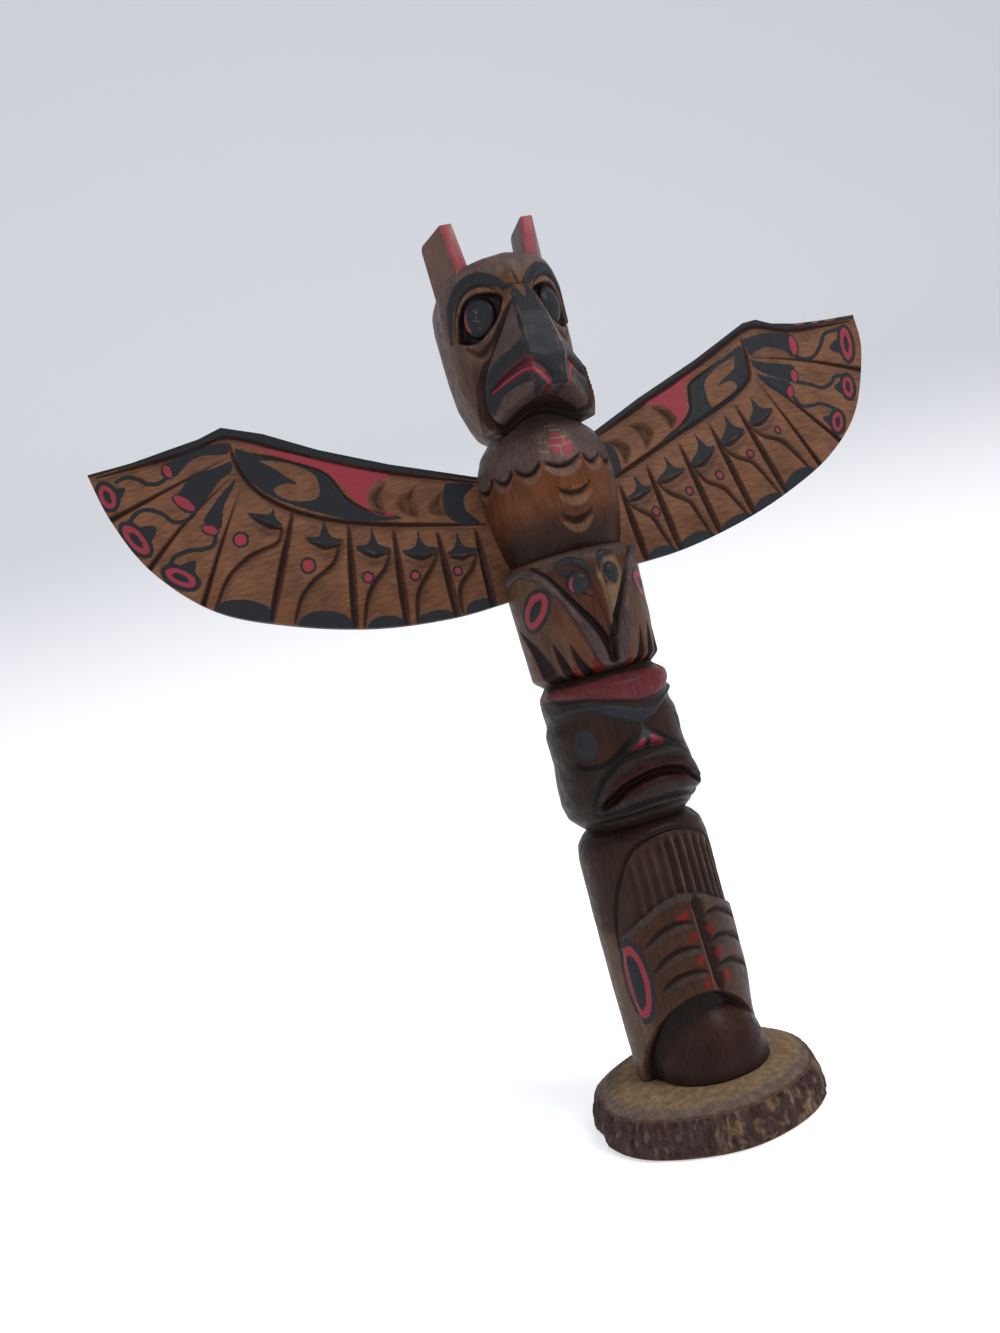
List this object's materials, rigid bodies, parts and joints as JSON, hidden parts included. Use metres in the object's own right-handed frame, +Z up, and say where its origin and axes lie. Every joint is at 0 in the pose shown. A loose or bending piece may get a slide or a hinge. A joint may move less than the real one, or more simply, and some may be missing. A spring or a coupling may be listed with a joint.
{
  "type": "totem pole",
  "caption": "Carved and painted wooden totem pole with stacked animal figures and spread wings, standing on a bark-edged base.",
  "frame": {"origin": "centre of the base's underside, on the pole's axis", "axes": "+Z up along the pole, the carved figures face -Y, +X is the viewer's right"},
  "size_m": [0.425, 0.1132, 0.4343],
  "materials": {
    "pole_wood": "dark stained, varnished, painted in black and red",
    "wing_wood": "light stained, satin, painted in black and red",
    "bark_slice": "raw, matt, with bark on its rim"
  },
  "bodies": {
    "root": {"pole": "pole_wood", "wing_left": "wing_wood", "wing_right": "wing_wood", "base": "bark_slice"}
  },
  "joints": []
}
